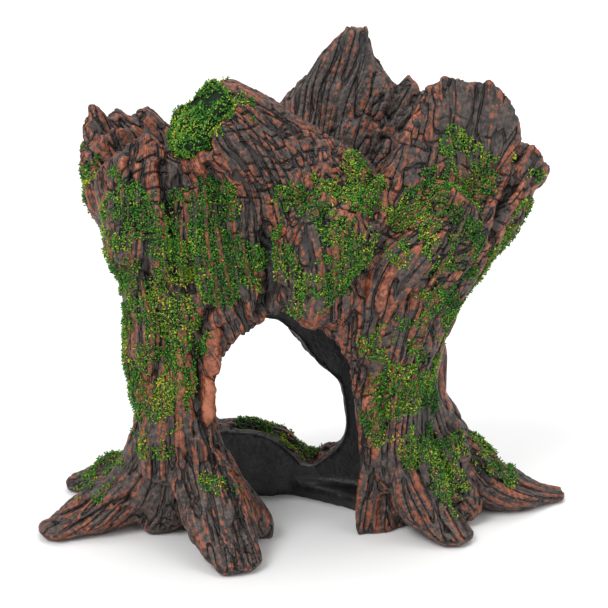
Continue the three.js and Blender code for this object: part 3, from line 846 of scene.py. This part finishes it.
# A fleck is a spindle: two ends and three points round its middle.
FLECK_SIDES = 3
FLECK_POINTS = 2 + FLECK_SIDES
FLECK_FACES = np.array([[0, 3, 2], [0, 4, 3], [0, 2, 4], [1, 2, 3], [1, 3, 4], [1, 4, 2]])
FLECK_LENGTH = (0.8, 1.8)  # in millimetres, as the next two
FLECK_THICKNESS = (0.17, 0.31)
FLECK_LIFT = (0.0, 0.7)
FLECK_LEAN = (0.05, 0.95)  # from flat on the bark to upright
FLECK_SUNK = 0.3  # share of its length that is in the bark
FLECK_CLEAR = 0.05 * MM  # above the floor

DYE_PATCHES = ((0.55, 9 * MM, 6), (0.25, 3 * MM, 7))
# How much yellower a fleck gets for each millimetre it stands off the bark: painted light on the flecks that
# stand out.
PAINTED_LIGHT_BY_LIFT = 0.7
DYE_SCATTER = 0.34
DYE_STEPS = [-0.42, 0.12, 0.5, 0.86]


def moss_body(node):
    """The lumpy core of a moss plug, from its CAD solid."""
    body = remeshed(node.data, PLUG_VOXEL)
    co = blurred(points_of(body), edges_of(body), 6)
    move_to(body, co)
    lumps = clumpy(co, *PLUG_LUMPS) - PLUG_SUNK
    move_to(body, co + normals_of(body) * (lumps * MM)[:, None])
    return body


def moss_points(bark, node, rng):
    """Points on the bark by a CAD patch, thinning out past its edge and in the gaps of its clumps."""
    mesh = node.data
    mesh.calc_loop_triangles()
    tree = BVHTree.FromPolygons(
        [v.co.copy() for v in mesh.vertices], [tuple(t.vertices) for t in mesh.loop_triangles]
    )
    low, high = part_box(node.name)
    low, high = np.array(low) - MOSS_SPREAD, np.array(high) + MOSS_SPREAD
    near = ((bark.middle > low) & (bark.middle < high)).all(1)
    picks = np.flatnonzero(near)
    share = np.zeros(len(picks))
    for k, i in enumerate(picks):
        _, _, _, gap = tree.find_nearest(Vector(bark.middle[i]), MOSS_SPREAD)
        if gap is not None:
            share[k] = 1 - max(0.0, gap - MOSS_FULL) / (MOSS_SPREAD - MOSS_FULL)
    clumps = clumpy(bark.middle[picks], *MOSS_CLUMPS) + MOSS_ON_PROUD * bark.proud[picks]
    thinned = THINNED.get(node.name, 0)
    cover = clumps + MOSS_FADE * (share - MOSS_THRESHOLD) - thinned
    keep = smoothstep(cover, *MOSS_CLUMP_EDGE) * (share > 0)
    return bark.scattered(picks, keep * MOSS_DENSITY, rng)


def plug_points(body, bark, node, rng):
    """Points all over the knot hole's moss plug, and on the bark round its upper half."""
    plug = Ground(body)
    keep = smoothstep(clumpy(plug.middle, *PLUG_CLUMPS), *PLUG_CLUMP_EDGE)
    spots, normal = plug.scattered(np.arange(len(plug.area)), keep * MOSS_DENSITY, rng)
    rim_spots, rim_normal = moss_points(bark, node, rng)
    upper = rim_spots[:, 2] > np.mean(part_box(node.name), axis=0)[2]
    return np.concatenate([spots, rim_spots[upper]]), np.concatenate([normal, rim_normal[upper]])


def spindles(where, normal, rng):
    """The points of a bent spindle for each place, leaning out of the bark, and how far it is lifted off."""
    n = len(where)
    spin = unit(rng.normal(size=(n, 3)))
    flat = unit(spin - normal * (spin * normal).sum(1, keepdims=True))
    lean = rng.uniform(*FLECK_LEAN, (n, 1))
    along = unit(flat * (1 - lean) + normal * lean)
    across = unit(np.cross(along, normal + 0.2 * flat))
    third = np.cross(along, across)
    length = rng.uniform(*FLECK_LENGTH, (n, 1)) * MM
    thick = rng.uniform(*FLECK_THICKNESS, (n, 1)) * MM
    lift = rng.uniform(*FLECK_LIFT, (n, 1)) ** 2 * MM
    foot = where + normal * lift - along * length * FLECK_SUNK
    tip = foot + along * length
    bend = (foot + tip) / 2 + normal * thick * 0.9 + across * thick * rng.uniform(-1, 1, (n, 1))
    points = [foot, tip]
    for k in range(FLECK_SIDES):
        angle = 2 * math.pi * k / FLECK_SIDES
        points.append(bend + (across * math.cos(angle) + third * math.sin(angle)) * thick)
    return np.stack(points, 1).reshape(-1, 3), lift[:, 0]


def dye_numbers_with_painted_light(where, lift, rng):
    """Which dye each fleck has, from the dark green to the yellow, in random patches; it is also yellower
    further off the bark, which is painted light on the flecks that stand out.
    """
    dye_tone_and_light = clumpy(where, *DYE_PATCHES)
    dye_tone_and_light += lift / MM * PAINTED_LIGHT_BY_LIFT + rng.normal(0, DYE_SCATTER, len(where))
    return np.searchsorted(DYE_STEPS, dye_tone_and_light)


def triangle_mesh(name, verts, faces):
    mesh = bpy.data.meshes.new(name)
    mesh.vertices.add(len(verts))
    mesh.vertices.foreach_set("co", verts.astype(np.float32).ravel())
    mesh.loops.add(faces.size)
    mesh.loops.foreach_set("vertex_index", faces.astype(np.int32).ravel())
    mesh.polygons.add(len(faces))
    mesh.polygons.foreach_set("loop_start", (3 * np.arange(len(faces))).astype(np.int32))
    return mesh


def add_body(mesh, body):
    """Joins a plug's core to its flecks, in the last material: a near-black green that is painted shade deep
    between the flecks.
    """
    last = np.full(len(body.polygons), len(mesh.materials) - 1, np.int32)
    body.polygons.foreach_set("material_index", last)
    joined = bmesh.new()
    joined.from_mesh(mesh)
    joined.from_mesh(body)
    joined.to_mesh(mesh)
    joined.free()


def flecks(name, where, normal, rng, dyes_and_shade):
    """One closed fleck of flock for each point."""
    verts, lift = spindles(where, normal, rng)
    verts[:, 2] = np.maximum(verts[:, 2], LOW[2] + FLECK_CLEAR)
    faces = (FLECK_FACES[None] + FLECK_POINTS * np.arange(len(where))[:, None, None]).reshape(-1, 3)
    mesh = triangle_mesh(name, verts, faces)
    for dye in dyes_and_shade:
        mesh.materials.append(dye)
    dye = np.repeat(dye_numbers_with_painted_light(where, lift, rng), len(FLECK_FACES))
    mesh.polygons.foreach_set("material_index", dye.astype(np.int32))
    mesh.update(calc_edges=True)
    return mesh


# ---------------------------------------------------------------- build
MOSS_SEED = 1000


def show(ob):
    bpy.context.scene.collection.objects.link(ob)
    return ob


def build_casting():
    """Shows the painted stump and returns its mesh."""
    mesh = sculpted(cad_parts["stump_casting"].data)
    mesh.materials.clear()
    mesh.materials.append(painted_resin())
    mesh.polygons.foreach_set("use_smooth", np.ones(len(mesh.polygons), bool))
    casting = show(bpy.data.objects.new("painted_stump", mesh))
    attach(casting, "root")
    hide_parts("stump_casting")
    return mesh


def build_coat(bark, node_name, rng, dyes_and_shade):
    """Shows one patch's coat of moss flock."""
    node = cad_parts[node_name]
    name = "flock_" + node_name
    if node_name == "moss_knot_hole":
        body = moss_body(node)
        mesh = flecks(name, *plug_points(body, bark, node, rng), rng, dyes_and_shade)
        add_body(mesh, body)
    else:
        mesh = flecks(name, *moss_points(bark, node, rng), rng, dyes_and_shade)
    coat = show(bpy.data.objects.new(name, mesh))
    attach(coat, "root")
    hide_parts(node_name)


casting_mesh = build_casting()
DYES_AND_SHADE = [
    flock("flock_dark_green", colour(34, 82, 32), 0.85),
    flock("flock_green", colour(58, 118, 42), 0.8),
    flock("flock_leaf_green", colour(92, 146, 50), 0.8),
    flock("flock_lime", colour(142, 168, 52), 0.78),
    flock("flock_yellow", colour(204, 196, 72), 0.75),
    # painted shade: near-black green for the knot plug's core, between its flecks
    flock("flock_painted_shade", colour(16, 34, 16), 0.9),
]
BARK = Ground(casting_mesh)
for k, node_name in enumerate(sorted(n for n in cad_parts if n.startswith("moss_"))):
    build_coat(BARK, node_name, np.random.default_rng(MOSS_SEED + k), DYES_AND_SHADE)


# ---------------------------------------------------------------- stage
SKY_STRENGTH = 0.75
FLOOR_REACH = 4  # metres each way from the middle
FLOOR_SHADE = (0.93, 0.93, 0.93, 1)
# The lamps' directions, how wide each looks in degrees, and its strength.
LAMPS = {
    "key": ((-0.45, -0.6, 0.8), 25, 1.5),
    "fill": ((0.7, -0.5, 0.5), 50, 0.5),
    "top": ((0.1, 0.2, 1.0), 40, 0.9),
}
CAMERA_ELEVATION = math.radians(14.5)
CAMERA_DISTANCE = 0.48
CAMERA_LENS = 90
CAMERA_TARGET = at(0.49, 0.488, 0.4586)


def light_sky():
    """An even white sky."""
    world = bpy.data.worlds.new("studio")
    bpy.context.scene.world = world
    bpy.context.scene.view_settings.view_transform = "Standard"
    world.use_nodes = True
    background = world.node_tree.nodes["Background"]
    background.inputs["Color"].default_value = (1, 1, 1, 1)
    background.inputs["Strength"].default_value = SKY_STRENGTH


def lay_floor():
    """A wide, pale floor."""
    corners = [(x * FLOOR_REACH, y * FLOOR_REACH, 0) for x, y in ((-1, -1), (1, -1), (1, 1), (-1, 1))]
    mesh = bpy.data.meshes.new("floor")
    mesh.from_pydata(corners, [], [(0, 1, 2, 3)])
    floor = show(bpy.data.objects.new("floor", mesh))
    floor.location.z = LOW[2]
    pale = Nodes("floor_white")
    pale.shader.inputs["Base Color"].default_value = FLOOR_SHADE
    pale.shader.inputs["Roughness"].default_value = 0.6
    pale.shader.inputs["Specular IOR Level"].default_value = 0.15
    mesh.materials.append(pale.material)


def lamp(name, direction, softness, strength):
    """A far, soft light that shines from a direction."""
    light = bpy.data.lights.new(name, "SUN")
    light.angle = math.radians(softness)
    light.energy = strength
    ob = show(bpy.data.objects.new(name, light))
    ob.rotation_euler = Vector(direction).to_track_quat("Z", "Y").to_euler()


def place_camera():
    """The camera, where the photograph was taken from."""
    back = Vector((0, -math.cos(CAMERA_ELEVATION), math.sin(CAMERA_ELEVATION)))
    camera = bpy.data.cameras.new("camera")
    camera.lens = CAMERA_LENS
    camera.clip_start = 0.01
    ob = show(bpy.data.objects.new("camera", camera))
    ob.location = Vector(CAMERA_TARGET) + back * CAMERA_DISTANCE
    ob.rotation_euler = (-back).to_track_quat("-Z", "Y").to_euler()
    bpy.context.scene.camera = ob


light_sky()
lay_floor()
for name, settings in LAMPS.items():
    lamp(name, *settings)
place_camera()
